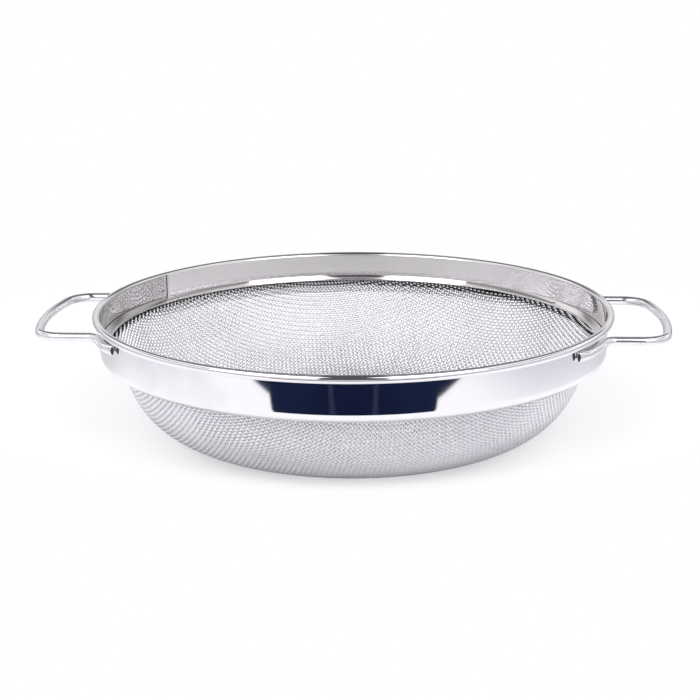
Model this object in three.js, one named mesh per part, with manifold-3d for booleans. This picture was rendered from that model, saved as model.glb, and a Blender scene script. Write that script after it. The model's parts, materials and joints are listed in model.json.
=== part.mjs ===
// Two-handled mesh colander: a woven wire bowl trapped in a polished hoop, with two welded wire handles.
// Millimetres, +Z up. The origin is on the table under the middle of the bowl, and the handles lie along X.

import * as THREE from 'three';
import { mergeVertices } from 'three/addons/utils/BufferGeometryUtils.js';
import Module from 'manifold-3d';

const wasm = await Module();
wasm.setup();

// Driving dimensions
const RIM_DIAMETER = 280;
const RIM_HEIGHT = 66.5;          // table to the middle of the rolled rim
const ROLL_RADIUS = 2.15;         // outside of the rolled rim
const SHEET = 0.7;                // sheet of the hoop
const SEAT_GAP = 0.3;             // clearance between pieces that touch
const WALL_DROP = 15.9;           // upright wall, measured down from the middle of the rolled rim
const HEM_RADIUS = 7;             // outside radius where the wall turns in
const HEM_TURN = THREE.MathUtils.degToRad(65);
const HEM_LIP = 2.2;              // straight lip past the turn
const ROLL_TURN = THREE.MathUtils.degToRad(300);
const FLOOR_RADIUS = 79;          // flat floor of the bowl
const CORNER_RADIUS = 44.4;       // round between the floor and the wall of the bowl
const WALL_SLOPE = THREE.MathUtils.degToRad(67);
const FLARE_RADIUS = 127.2;       // where the mesh wall bends out to its hem
const MESH_PITCH = 1.86;          // wire to wire in the real cloth
const WIRES_PER_STRAND = 4;       // one drawn strand stands for this many wires of the cloth
const STRAND_WIDTH = 1.2;
const STRAND_DEPTH = 0.9;
const LAYER_GAP = 0.7;            // between the two layers of strands
const WEAVE_TURN = THREE.MathUtils.degToRad(55);
const MESH_HEM_DEPTH = 3.0;       // crushed edge of the cloth, through both layers
const MESH_HEM_WIDTH = 2.2;
const MESH_SEAT_ANGLE = THREE.MathUtils.degToRad(45);
const RING_NOSE_RADIUS = 1.35;    // rounded inner edge of the retaining ring
const RING_WIDTH = 5;
const RING_HEIGHT = 4.5;
const RING_CHAMFER = 0.8;         // clears the start of the turned-in hem
const NOSE_START = THREE.MathUtils.degToRad(100);
const RING_JOINT_WIDTH = 0.4;
const RING_JOINT_ANGLE = THREE.MathUtils.degToRad(145);
const HANDLE_WIRE = 4.8;
const HANDLE_REACH = 167.5;       // axis of the bowl to the middle of the handle's wire
const HANDLE_HALF_SPAN = 44.8;    // middle of the handle to the middle of a leg
const HANDLE_DROP = 5.8;          // below the middle of the rolled rim
const HANDLE_CORNER = 14;
const HANDLE_BOW_RADIUS = 160;
const FOOT_BEND = 7;
const FOOT_END = THREE.MathUtils.degToRad(34.6);
const FOOT_GAP = 0.45;

// Facets
const AROUND = 60;
const ROLL_STEPS = 8;
const HEM_STEPS = 4;
const NOSE_STEPS = 4;
const CHORD_ERROR = 0.6;          // strand to bowl, between its rings of corners
const CORE_SIDES = 6;
const WIRE_SIDES = 8;
const HANDLE_STEPS = 40;

// Sizes that follow
const rollCentre = new THREE.Vector2(RIM_DIAMETER / 2 - ROLL_RADIUS, RIM_HEIGHT);
const rollMidRadius = ROLL_RADIUS - SHEET / 2;
const wallMidRadius = rollCentre.x - rollMidRadius;
const wallInside = wallMidRadius - SHEET / 2;
const wallOutside = wallMidRadius + SHEET / 2;
const hemMidRadius = HEM_RADIUS - SHEET / 2;
const hemCentre = new THREE.Vector2(wallMidRadius - hemMidRadius, RIM_HEIGHT - WALL_DROP);
const layerOffset = (STRAND_DEPTH + LAYER_GAP) / 2;
const floorHeight = layerOffset + STRAND_DEPTH / 2;
const meshHemReach = Math.hypot(MESH_HEM_DEPTH, MESH_HEM_WIDTH) / 2;
const meshSeatReach = HEM_RADIUS - SHEET - SEAT_GAP - meshHemReach;
const meshHem = new THREE.Vector2(
  hemCentre.x + meshSeatReach * Math.cos(MESH_SEAT_ANGLE),
  hemCentre.y - meshSeatReach * Math.sin(MESH_SEAT_ANGLE),
);
const wallFoot = FLOOR_RADIUS + CORNER_RADIUS * Math.sin(WALL_SLOPE);
const cornerRise = CORNER_RADIUS * (1 - Math.cos(WALL_SLOPE));
const flareHeight = floorHeight + cornerRise + (FLARE_RADIUS - wallFoot) * Math.tan(WALL_SLOPE);
const flareSlope = Math.atan2(meshHem.y - flareHeight, meshHem.x - FLARE_RADIUS);
const cornerReach = FLOOR_RADIUS + CORNER_RADIUS * WALL_SLOPE;
const flareReach = cornerReach + (FLARE_RADIUS - wallFoot) / Math.cos(WALL_SLOPE);
const hemReach = flareReach + (meshHem.x - FLARE_RADIUS) / Math.cos(flareSlope);
const strandPitch = MESH_PITCH * WIRES_PER_STRAND;

const POLISHED_STEEL = { color: 0xd9dbe0, roughness: 0.12, metalness: 1 };
const DRAWN_WIRE = { color: 0xd0d2d8, roughness: 0.28, metalness: 1 };

// Points along an arc, both ends included. Angles run from +r towards +z.
function arc(centre, radius, from, to, steps) {
  return Array.from({ length: steps + 1 }, (_, step) => {
    const angle = from + ((to - from) * step) / steps;
    return new THREE.Vector2(
      centre.x + radius * Math.cos(angle),
      centre.y + radius * Math.sin(angle),
    );
  });
}

// The closed section of a sheet: its middle line moved half a thickness to either side.
function sheetSection(middle, thickness) {
  const side = (sign) => middle.map((point, index) => {
    const before = middle[Math.max(index - 1, 0)];
    const after = middle[Math.min(index + 1, middle.length - 1)];
    const along = after.clone().sub(before).normalize();
    const across = new THREE.Vector2(along.y, -along.x);
    return point.clone().addScaledVector(across, (sign * thickness) / 2);
  });
  return [...side(1), ...side(-1).reverse()];
}

// A closed section of (radius, height) points turned about Z.
function revolve(section) {
  const geometry = new THREE.LatheGeometry([...section, section[0]], AROUND);
  return geometry.rotateX(Math.PI / 2);
}

function toSolid(geometry) {
  const bare = geometry.clone();
  bare.deleteAttribute('normal');
  bare.deleteAttribute('uv');
  const merged = mergeVertices(bare, 1e-4);
  return new wasm.Manifold(new wasm.Mesh({
    numProp: 3,
    vertProperties: new Float32Array(merged.attributes.position.array),
    triVerts: new Uint32Array(merged.index.array),
  }));
}

function toGeometry(solid) {
  const { vertProperties, triVerts } = solid.getMesh();
  const geometry = new THREE.BufferGeometry();
  geometry.setAttribute('position', new THREE.BufferAttribute(vertProperties, 3));
  geometry.setIndex(new THREE.BufferAttribute(triVerts, 1));
  geometry.computeVertexNormals();
  return geometry;
}

function node(name, geometry, finish) {
  const mesh = new THREE.Mesh(geometry, new THREE.MeshStandardMaterial(finish));
  mesh.name = name;
  return mesh;
}

// Hoop: lip and turned-in hem, upright wall, and the rim rolled outwards over its wire
function rimBand() {
  const turn = arc(hemCentre, hemMidRadius, -HEM_TURN, 0, HEM_STEPS);
  const lip = new THREE.Vector2(
    turn[0].x - HEM_LIP * Math.sin(HEM_TURN),
    turn[0].y - HEM_LIP * Math.cos(HEM_TURN),
  );
  const roll = arc(rollCentre, rollMidRadius, Math.PI, Math.PI - ROLL_TURN, ROLL_STEPS);
  return node('rim_band', revolve(sheetSection([lip, ...turn, ...roll], SHEET)), POLISHED_STEEL);
}

function rimWire() {
  const radius = ROLL_RADIUS - SHEET - SEAT_GAP;
  const section = arc(rollCentre, radius, 0, 2 * Math.PI, CORE_SIDES).slice(1);
  return node('rim_wire', revolve(section), DRAWN_WIRE);
}

// Retaining ring: a strip against the wall with a rounded nose, cut through at its butt joint
function retainingRing() {
  const outside = wallInside - SEAT_GAP;
  const bottom = meshHem.y + meshHemReach + SEAT_GAP;
  const noseCentre = new THREE.Vector2(outside - RING_WIDTH + RING_NOSE_RADIUS, bottom + RING_NOSE_RADIUS);
  const nose = arc(noseCentre, RING_NOSE_RADIUS, NOSE_START, 1.5 * Math.PI, NOSE_STEPS);
  const back = [
    new THREE.Vector2(outside - RING_CHAMFER, bottom),
    new THREE.Vector2(outside, bottom + RING_CHAMFER),
    new THREE.Vector2(outside, bottom + RING_HEIGHT),
  ];
  const joint = new THREE.BoxGeometry(RIM_DIAMETER, RING_JOINT_WIDTH, RIM_HEIGHT);
  joint.translate(RIM_DIAMETER / 2, 0, bottom);
  joint.rotateZ(RING_JOINT_ANGLE);
  const ring = toSolid(revolve([...nose, ...back])).subtract(toSolid(joint));
  return node('mesh_retaining_ring', toGeometry(ring), POLISHED_STEEL);
}

// The bowl's middle surface, by the distance along it from the middle of the floor
function bowlAt(reach) {
  if (reach <= FLOOR_RADIUS) return { radius: reach, height: floorHeight, slope: 0 };
  if (reach <= cornerReach) {
    const slope = (reach - FLOOR_RADIUS) / CORNER_RADIUS;
    return {
      radius: FLOOR_RADIUS + CORNER_RADIUS * Math.sin(slope),
      height: floorHeight + CORNER_RADIUS * (1 - Math.cos(slope)),
      slope,
    };
  }
  const slope = reach <= flareReach ? WALL_SLOPE : flareSlope;
  return {
    radius: FLARE_RADIUS + (reach - flareReach) * Math.cos(slope),
    height: flareHeight + (reach - flareReach) * Math.sin(slope),
    slope,
  };
}

// A point of the flat cloth, at an offset from the middle and a run along a strand, pressed on to the bowl.
// It keeps its distance from the middle of the cloth, so the strands stay as close on the wall as on the floor.
function pressed(offset, run, direction) {
  const { radius, height, slope } = bowlAt(Math.hypot(offset, run));
  const bearing = direction + Math.atan2(offset, run);
  const away = new THREE.Vector3(Math.cos(bearing), Math.sin(bearing), 0);
  return {
    place: away.clone().multiplyScalar(radius).setZ(height),
    outward: away.multiplyScalar(Math.sin(slope)).setZ(-Math.cos(slope)),
  };
}

// Runs between two others that keep a strand's chords close to the bowl
function runsBetween(offset, from, to) {
  const run = (from + to) / 2;
  const { place, outward } = pressed(offset, run, 0);
  const chordMiddle = pressed(offset, from, 0).place.lerp(pressed(offset, to, 0).place, 0.5);
  if (Math.abs(chordMiddle.sub(place).dot(outward)) < CHORD_ERROR) return [];
  return [...runsBetween(offset, from, run), run, ...runsBetween(offset, run, to)];
}

// Runs along a strand, hem to hem, where it gets a ring of corners
function strandRuns(offset) {
  const halves = [hemReach, flareReach, cornerReach, FLOOR_RADIUS]
    .filter((reach) => reach > Math.abs(offset))
    .map((reach) => Math.sqrt(reach * reach - offset * offset));
  const middle = Math.abs(offset) < FLOOR_RADIUS ? [] : [0];
  const marks = [...halves.map((run) => -run), ...middle, ...halves.slice().reverse()];
  return marks.flatMap((run, index) => (
    index === 0 ? [run] : [...runsBetween(offset, marks[index - 1], run), run]
  ));
}

// One strand at an offset on the cloth, as rings of three corners with a flat face away from the other layer.
// layer is 1 for the outer layer and -1 for the inner one.
function strand(offset, direction, layer) {
  const stations = strandRuns(offset).map((run) => {
    const { place, outward } = pressed(offset, run, direction);
    return { centre: place.addScaledVector(outward, layer * layerOffset), outward };
  });
  const corners = stations.flatMap(({ centre, outward }, index) => {
    const before = stations[Math.max(index - 1, 0)].centre;
    const after = stations[Math.min(index + 1, stations.length - 1)].centre;
    const tangent = after.clone().sub(before).normalize();
    const sideways = outward.clone().cross(tangent).setLength((layer * STRAND_WIDTH) / 2);
    const face = outward.clone().multiplyScalar((layer * STRAND_DEPTH) / 2);
    return [
      centre.clone().add(sideways).add(face),
      centre.clone().sub(sideways).add(face),
      centre.clone().sub(face),
    ];
  });
  const last = corners.length - 3;
  const faces = [0, 2, 1, last, last + 1, last + 2];
  for (let ring = 0; ring < last; ring += 3) {
    for (let side = 0; side < 3; side += 1) {
      const here = ring + side;
      const next = ring + ((side + 1) % 3);
      faces.push(here, next, here + 3, next, next + 3, here + 3);
    }
  }
  const geometry = new THREE.BufferGeometry().setFromPoints(corners);
  geometry.setIndex(faces);
  return geometry;
}

// The crushed edge of the cloth: a flat bar that leans with the flare, so that the strands meet its inner face
function meshHemSection() {
  const corners = [[-1, -1], [1, -1], [1, 1], [-1, 1]];
  return corners.map(([along, through]) => new THREE.Vector2(
    (along * MESH_HEM_WIDTH) / 2,
    (through * MESH_HEM_DEPTH) / 2,
  ).rotateAround(new THREE.Vector2(), flareSlope).add(meshHem));
}

// Bowl: two layers of strands laid across each other, their ends held in the crushed hem
function meshBowl() {
  const strandsToSide = Math.floor(flareReach / strandPitch);
  let bowl = toSolid(revolve(meshHemSection()));
  for (const layer of [1, -1]) {
    const direction = layer > 0 ? WEAVE_TURN : WEAVE_TURN + Math.PI / 2;
    for (let count = -strandsToSide; count <= strandsToSide; count += 1) {
      bowl = bowl.add(toSolid(strand(count * strandPitch, direction, layer)));
    }
  }
  return node('mesh_bowl', toGeometry(bowl), DRAWN_WIRE);
}

// A plan outline lifted to one height, to carry a wire along
class LevelCurve extends THREE.Curve {
  constructor(plan, height) {
    super();
    this.plan = plan;
    this.height = height;
  }

  getPoint(share, target = new THREE.Vector3()) {
    const { x, y } = this.plan.getPoint(share);
    return target.set(x, y, this.height);
  }
}

// Handle: foot along the band, bend, leg, corner, bow, and the same again on the far side
function handleWire() {
  const footRadius = wallOutside + FOOT_GAP + HANDLE_WIRE / 2;
  const bendY = HANDLE_HALF_SPAN + FOOT_BEND;
  const bendX = Math.sqrt((footRadius + FOOT_BEND) ** 2 - bendY ** 2);
  const bendAngle = Math.atan2(bendY, bendX);
  const bowX = HANDLE_REACH - HANDLE_BOW_RADIUS;
  const cornerY = HANDLE_HALF_SPAN - HANDLE_CORNER;
  const cornerX = bowX + Math.sqrt((HANDLE_BOW_RADIUS - HANDLE_CORNER) ** 2 - cornerY ** 2);
  const cornerAngle = Math.atan2(cornerY, cornerX - bowX);
  const quarter = Math.PI / 2;
  const plan = new THREE.Path();
  plan.absarc(0, 0, footRadius, -FOOT_END, -bendAngle, false);
  plan.absarc(bendX, -bendY, FOOT_BEND, Math.PI - bendAngle, quarter, true);
  plan.absarc(cornerX, -cornerY, HANDLE_CORNER, -quarter, -cornerAngle, false);
  plan.absarc(bowX, 0, HANDLE_BOW_RADIUS, -cornerAngle, cornerAngle, false);
  plan.absarc(cornerX, cornerY, HANDLE_CORNER, cornerAngle, quarter, false);
  plan.absarc(bendX, bendY, FOOT_BEND, -quarter, bendAngle - Math.PI, true);
  plan.absarc(0, 0, footRadius, bendAngle, FOOT_END, false);
  const section = new THREE.Shape(arc(new THREE.Vector2(), HANDLE_WIRE / 2, 0, 2 * Math.PI, WIRE_SIDES).slice(1));
  return new THREE.ExtrudeGeometry(section, {
    steps: HANDLE_STEPS,
    extrudePath: new LevelCurve(plan, RIM_HEIGHT - HANDLE_DROP),
  });
}

const colander = new THREE.Group();
colander.add(rimBand(), rimWire(), retainingRing(), meshBowl());
for (const [name, turn] of [['right_handle', 0], ['left_handle', Math.PI]]) {
  const handle = node(name, handleWire(), POLISHED_STEEL);
  handle.rotation.z = turn;
  colander.add(handle);
}

export default colander;
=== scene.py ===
# %% [markdown]
# # A two-handled mesh colander
# The colander is a shallow bowl of woven steel wire. Its edge is trapped in a polished hoop that is
# rolled outwards over a wire at the top, and two bent wire handles are welded under that roll. The
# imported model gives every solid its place. This lesson dresses it: smooth polished sheet, real woven
# wire, and a white studio.

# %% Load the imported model
import json
import math

import bpy
import numpy as np
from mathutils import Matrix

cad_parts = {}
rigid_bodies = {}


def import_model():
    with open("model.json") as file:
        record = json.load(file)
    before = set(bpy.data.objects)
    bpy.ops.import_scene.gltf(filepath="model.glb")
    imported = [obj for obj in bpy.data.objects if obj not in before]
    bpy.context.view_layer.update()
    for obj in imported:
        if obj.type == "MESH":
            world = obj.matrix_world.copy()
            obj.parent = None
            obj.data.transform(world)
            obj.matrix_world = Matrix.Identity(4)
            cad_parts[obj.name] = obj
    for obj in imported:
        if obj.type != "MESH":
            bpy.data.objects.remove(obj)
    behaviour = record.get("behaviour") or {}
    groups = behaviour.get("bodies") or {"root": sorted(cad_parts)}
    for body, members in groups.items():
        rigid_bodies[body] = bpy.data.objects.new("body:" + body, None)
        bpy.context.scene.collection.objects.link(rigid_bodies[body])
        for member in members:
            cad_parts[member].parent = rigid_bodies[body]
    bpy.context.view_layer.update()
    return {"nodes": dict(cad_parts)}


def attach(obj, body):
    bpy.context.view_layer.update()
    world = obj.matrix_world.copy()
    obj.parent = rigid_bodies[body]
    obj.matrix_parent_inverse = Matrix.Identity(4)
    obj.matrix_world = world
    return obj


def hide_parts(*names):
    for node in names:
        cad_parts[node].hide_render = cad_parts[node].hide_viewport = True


for leftover in list(bpy.data.objects):
    bpy.data.objects.remove(leftover)
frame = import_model()
print("solids:", sorted(frame["nodes"]))

# %% [markdown]
# ## Laying a grid of points into a mesh
# Every new piece here is made of rows of points, each row a ring or a section. Blender could build such
# a piece by spinning or sweeping a curve, but then its points are hard to shift one by one. A numpy
# array keeps the whole surface in one place, so a groove or a nick is one line of arithmetic. These
# helpers turn arrays into meshes.

# %% From arrays to a mesh
MM = 0.001


def enclosed_volume(points, quads):
    """Volume inside a closed mesh: a sixth of the sum of a . (b x c) over its triangles, positive when
    the faces point outwards."""
    a, b, c, d = (points[quads[:, corner]] for corner in range(4))
    return (np.einsum("ij,ij->", a, np.cross(b, c)) + np.einsum("ij,ij->", a, np.cross(c, d))) / 6


def lay_mesh(name, points, quads, caps, quad_uv=None):
    """A smooth mesh object from points, quads and flat end caps, which are rows of corners. The corner
    order is turned round when the volume comes out negative, so that faces always point outwards."""
    if enclosed_volume(points, quads) < 0:
        quads, caps = quads[:, ::-1], caps[:, ::-1]
        quad_uv = None if quad_uv is None else quad_uv[:, ::-1]
    loops = np.concatenate([quads.ravel(), caps.ravel()]).astype(np.int32)
    counts = np.repeat([4, caps.shape[1]], [len(quads), len(caps)])
    mesh = bpy.data.meshes.new(name)
    mesh.vertices.add(len(points))
    mesh.vertices.foreach_set("co", points.astype(np.float32).ravel())
    mesh.loops.add(len(loops))
    mesh.loops.foreach_set("vertex_index", loops)
    mesh.polygons.add(len(counts))
    mesh.polygons.foreach_set("loop_start", (np.cumsum(counts) - counts).astype(np.int32))
    mesh.polygons.foreach_set("use_smooth", np.arange(len(counts)) < len(quads))
    if quad_uv is not None:
        uv = np.zeros((len(loops), 2), np.float32)
        uv[: quads.size] = quad_uv.reshape(-1, 2)
        mesh.uv_layers.new(name="lay").data.foreach_set("uv", uv.ravel())
    mesh.update(calc_edges=True)
    mesh.validate()
    piece = bpy.data.objects.new(name, mesh)
    bpy.context.scene.collection.objects.link(piece)
    print(f"{name}: {2 * len(quads) + len(caps) * (caps.shape[1] - 2)} triangles")
    return piece


def lay_grid(name, points, row_lengths, column_lengths, ring=True):
    """A mesh from a grid whose columns close on themselves. Each quad joins a point to the next column
    and the next row. A ring closes its rows too, and an open run gets a cap at both ends. The UV map
    holds lengths in metres along the rows and the columns."""
    rows, columns = points.shape[:2]
    row, column = np.indices((rows if ring else rows - 1, columns)).reshape(2, -1, 1)
    row = row + np.array([0, 0, 1, 1])
    column = column + np.array([0, 1, 1, 0])
    quads = (row % rows) * columns + column % columns
    quad_uv = np.stack([row_lengths[row], column_lengths[column]], -1)
    first = np.arange(columns)
    caps = np.zeros((0, columns), int) if ring else np.stack([first[::-1], first + (rows - 1) * columns])
    return lay_mesh(name, points.reshape(-1, 3), quads, caps, quad_uv)


def lengths_along(points):
    """Length from the first point to each one in turn, and once more round to the first."""
    steps = np.linalg.norm(np.diff(points, axis=0, append=points[:1]), axis=1)
    return np.concatenate([[0], np.cumsum(steps)])


def turned(section, turns):
    """A section of (radius, height) points carried round the axis: (r cos t, r sin t, z) at each turn
    t. The section may also differ from row to row."""
    radius = np.broadcast_to(section[..., 0], (len(turns), section.shape[-2]))
    height = np.broadcast_to(section[..., 1], radius.shape)
    return np.stack([radius * np.cos(turns)[:, None], radius * np.sin(turns)[:, None], height], -1)

# %% [markdown]
# ## Shader arithmetic
# A finish is a few fields that vary over the surface, such as height, roughness and tint, mixed
# together. Blender draws each step as a node. The first class below wraps a node's output, so that a
# sum or a product in Python adds the Math node for it. The second holds a node tree, and its method
# node adds any other node.

# %% Fields and finishes
RIGHTWARDS = (1.0, 0.0, 0.0)
BACKWARDS = (0.0, 1.0, 0.0)
UPWARDS = (0.0, 0.0, 1.0)


class Field:
    """A value that varies over a surface: the output of a node, with arithmetic that adds Math
    nodes."""

    def __init__(self, socket):
        self.socket = socket

    def maths(self, operation, first, second=0.0):
        node = self.socket.id_data.nodes.new("ShaderNodeMath")
        node.operation = operation
        feed(node.inputs[0], first)
        feed(node.inputs[1], second)
        return Field(node.outputs[0])

    def __add__(self, other):
        return self.maths("ADD", self, other)

    def __sub__(self, other):
        return self.maths("SUBTRACT", self, other)

    def __rsub__(self, other):
        return self.maths("SUBTRACT", other, self)

    def __mul__(self, other):
        return self.maths("MULTIPLY", self, other)

    def __abs__(self):
        return self.maths("ABSOLUTE", self)

    __radd__ = __add__
    __rmul__ = __mul__


def feed(place, value):
    """Links a field to a node's input, or sets the input to a plain value."""
    if isinstance(value, Field):
        place.id_data.links.new(value.socket, place)
    else:
        place.default_value = value


class Finish:
    """The node tree of a material or of the world, emptied and ready for new nodes."""

    def __init__(self, owner):
        owner.use_nodes = True
        self.owner = owner
        self.tree = owner.node_tree
        self.tree.nodes.clear()

    def node(self, kind, settings=None, inputs=None, output=0):
        """Adds a node: its settings first, then the values or links of its inputs, by name or by
        number."""
        node = self.tree.nodes.new(kind)
        for name, value in (settings or {}).items():
            setattr(node, name, value)
        for place, value in (inputs or {}).items():
            feed(node.inputs[place], value)
        return Field(node.outputs[output])

    def place(self, kind="Object"):
        """Where a point lies, in the named kind of coordinates."""
        return self.node("ShaderNodeTexCoord", output=kind)

    def ray(self, kind):
        """1 for rays of one kind, such as those from the camera, and 0 for all others."""
        return self.node("ShaderNodeLightPath", output=f"Is {kind} Ray")

    def noise(self, place, scale, detail):
        """Soft blotches between 0 and 1, about as many to a metre as scale says."""
        return self.node("ShaderNodeTexNoise", None, {"Vector": place, "Scale": scale, "Detail": detail})

    def stretched(self, place, scale):
        """A place with each of its coordinates multiplied by its own scale."""
        return self.node("ShaderNodeMapping", None, {"Vector": place, "Scale": scale})

    def ease(self, value, start, end):
        """0 up to start and 1 from end on, with a smooth step between. Start may lie above end."""
        inputs = {"Value": value, "From Min": start, "From Max": end}
        return self.node("ShaderNodeMapRange", {"interpolation_type": "SMOOTHSTEP"}, inputs)

    def dot(self, place, direction):
        """How far a place lies along a direction."""
        settings = {"operation": "DOT_PRODUCT"}
        return self.node("ShaderNodeVectorMath", settings, {0: place, 1: direction}, "Value")

    def length(self, place):
        """How far a place lies from the middle."""
        return self.node("ShaderNodeVectorMath", {"operation": "LENGTH"}, {0: place}, "Value")

    def either(self, first, second):
        """The larger of two values."""
        return self.node("ShaderNodeMath", {"operation": "MAXIMUM"}, {0: first, 1: second})

    def blend(self, share, first, second):
        """A colour between two: the Mix node's colour inputs are numbers 6 and 7, its output number 2."""
        return self.node("ShaderNodeMix", {"data_type": "RGBA"}, {0: share, 6: first, 7: second}, 2)

    def metal(self, colour, roughness, height, distance, metallic=1.0):
        """A bare metal: its colour tints what it mirrors, roughness blurs it and height bends it. A
        metallic share below 1 stands for a dull film on it."""
        bump = self.node("ShaderNodeBump", None, {"Height": height, "Distance": distance})
        return self.node("ShaderNodeBsdfPrincipled", None, {
            "Base Color": colour, "Metallic": metallic, "Roughness": roughness, "Normal": bump})

    def glow(self, colour):
        """A surface that shines evenly in one colour."""
        return self.node("ShaderNodeEmission", None, {"Color": colour, "Strength": 1.0})

    def done(self, surface):
        """Links the finished shader to the output of the tree, and gives back what the tree belongs
        to."""
        kind = "World" if isinstance(self.owner, bpy.types.World) else "Material"
        feed(self.tree.nodes.new("ShaderNodeOutput" + kind).inputs["Surface"], surface)
        return self.owner


def new_finish(name):
    """An empty material with that name."""
    return Finish(bpy.data.materials.new(name))

# %% [markdown]
# ## The hoop
# One strip makes the whole hoop. Its lower edge is turned in to catch the mesh, and its upper edge is
# rolled outwards round a wire. The solid has flat facets, which a mirror finish would show, so the hoop
# is drawn again with one row for every degree, and with a tighter hem and roll. The middle line is laid
# out as places and headings, and the sheet's two faces lie half its thickness to either side. The
# strip's ends meet in a seam on the far left.

# %% Section of the hoop
SHEET = 0.7 * MM
ROLL_CENTRE = np.array([137.77, 66.5]) * MM
ROLL_MIDDLE = 1.72 * MM
ROLL_TURN = math.radians(318)
WALL_RADIUS = ROLL_CENTRE[0] - ROLL_MIDDLE
HEM_MIDDLE = 5.2 * MM
HEM_CENTRE = np.array([WALL_RADIUS - HEM_MIDDLE, 49.2 * MM])
HEM_TURN = math.radians(55)
HEM_LIP = 0.6 * MM
EDGE_STEPS = 5
LIP_STEPS = 4
HEM_STEPS = 18
WALL_STEPS = 14
ROLL_STEPS = 44


def arc_line(centre, radius, start, end, count):
    """Places on an arc and the heading at each: a quarter turn ahead of its angle, or behind it when
    the arc runs clockwise."""
    angle = np.linspace(start, end, count)
    places = centre + radius * np.stack([np.cos(angle), np.sin(angle)], 1)
    return places, angle + math.copysign(math.pi / 2, end - start)


def straight_line(start, end, count):
    """Places on a straight line and its one heading."""
    run = end - start
    return start + np.linspace(0, 1, count)[:, None] * run, np.full(count, math.atan2(run[1], run[0]))


def sheet_section(places, headings, thickness):
    """Closed section of a sheet and the normal at each point: the middle line moved half the thickness
    to its right, a half circle round its end, the line moved to the left and back, and a half circle
    round its start."""
    right = np.stack([np.sin(headings), -np.cos(headings)], 1)
    ahead = np.stack([np.cos(headings), np.sin(headings)], 1)
    sweep = np.linspace(0, math.pi, EDGE_STEPS + 2)[1:-1, None]
    end = np.cos(sweep) * right[-1] + np.sin(sweep) * ahead[-1]
    start = -np.cos(sweep) * right[0] - np.sin(sweep) * ahead[0]
    normals = np.concatenate([right, end, -right[::-1], start])
    middles = np.concatenate([
        places, np.repeat(places[-1:], EDGE_STEPS, 0), places[::-1], np.repeat(places[:1], EDGE_STEPS, 0)])
    return middles + thickness / 2 * normals, normals


turn_places, turn_headings = arc_line(HEM_CENTRE, HEM_MIDDLE, -HEM_TURN, 0, HEM_STEPS)
roll_places, roll_headings = arc_line(
    ROLL_CENTRE, ROLL_MIDDLE, math.pi, math.pi - ROLL_TURN, ROLL_STEPS)
lip_start = turn_places[0] - HEM_LIP * np.array([math.sin(HEM_TURN), math.cos(HEM_TURN)])
lip_places, lip_headings = straight_line(lip_start, turn_places[0], LIP_STEPS)
wall_places, wall_headings = straight_line(turn_places[-1], roll_places[0], WALL_STEPS)
hoop_section, hoop_normals = sheet_section(
    np.concatenate([lip_places[:-1], turn_places, wall_places[1:-1], roll_places]),
    np.concatenate([lip_headings[:-1], turn_headings, wall_headings[1:-1], roll_headings]), SHEET)
print("hoop section:", len(hoop_section), "points, lip ends at", np.round(lip_start / MM, 2), "mm")

# %% [markdown]
# ## Polished sheet
# The hoop and the ring inside it are stainless strip, rolled to shape and buffed with a wheel. Buffing
# runs round the hoop, so it leaves hair lines that way, and the strip is never quite flat, so what it
# mirrors wavers. A plain glossy shader would look like plastic film. Here the lines follow the UV map,
# which holds lengths round the hoop and across the strip. Slow swells and finger marks follow Object
# coordinates. The inner wall is painted darker, as shade, and darker still past the seam. Its middle
# has a satin film, and a weld spot lies beside the seam. The wheel can't reach the inside of the
# turned-in edge, so past a certain length across the strip the metal is rough and dark: partly
# unbuffed metal, and partly painted shade for the recess behind the mesh.

# %% Polished sheet
SEAM_BEARING = math.radians(147)
SEAM_TOWARDS = (math.cos(SEAM_BEARING), math.sin(SEAM_BEARING), 0.0)
SEAM_ACROSS = (-math.sin(SEAM_BEARING), math.cos(SEAM_BEARING), 0.0)
SEAM_FADE = (0.75 * MM, 0.3 * MM)
SEAM_RADIUS = (135.45 * MM, 135.6 * MM)
SEAM_SHARE_OUTSIDE = 0.3
WELD_ACROSS = 3.6 * MM
WELD_ACROSS_FADE = (1.3 * MM, 0.6 * MM)
WELD_HEIGHT = 58.4 * MM
WELD_HEIGHT_FADE = (0.9 * MM, 0.4 * MM)
WELD_SIDE = (0.0, 0.1)
WELD_SHARE = 0.7
FACE_FADE = 0.1 * MM
INSIDE_FROM = (51 * MM, 52 * MM)
SATIN_LEFT = -114 * MM
SATIN_LEFT_FADE = 2 * MM
SATIN_RIGHT = 86 * MM
SATIN_RIGHT_FADE = 8 * MM
SATIN_FROM = 56.3 * MM
SATIN_FROM_FADE = 1 * MM
SATIN_FILM = 0.45
SHADE_PAST_SEAM_FROM = (-30 * MM, 40 * MM)
UNBUFFED_FADE = 2 * MM
SHEET_BRIGHT = (0.89, 0.885, 0.90, 1)
SHEET_MARKED = (0.84, 0.835, 0.85, 1)
# The inner wall's two colours are painted shade: darker inside, and darker still past the seam.
SHEET_INSIDE_SHADE = (0.82, 0.805, 0.805, 1)
SHEET_SHADE_PAST_SEAM = (0.54, 0.53, 0.52, 1)
# The unbuffed edge's colour is partly unbuffed metal and partly painted shade.
SHEET_UNBUFFED_SHADE = (0.42, 0.42, 0.43, 1)
SEAM_DARK = (0.07, 0.07, 0.07, 1)
BUFFED_ROUGHNESS = 0.04
MARKED_ROUGHNESS = 0.04
HAIR_LINE_ROUGHNESS = 0.03
SATIN_ROUGHNESS = 0.10
SEAM_ROUGHNESS = 0.25
UNBUFFED_ROUGHNESS = 0.4
HAIR_LINE_SCALE = (14.0, 2600.0, 1.0)
HAIR_LINE_SHARE = 0.0012
SWELL_SCALE = 26.0
SWELL_HEIGHT = 0.22 * MM
MARK_SCALE = 46.0
MARK_LIMITS = (0.52, 0.74)


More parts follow.
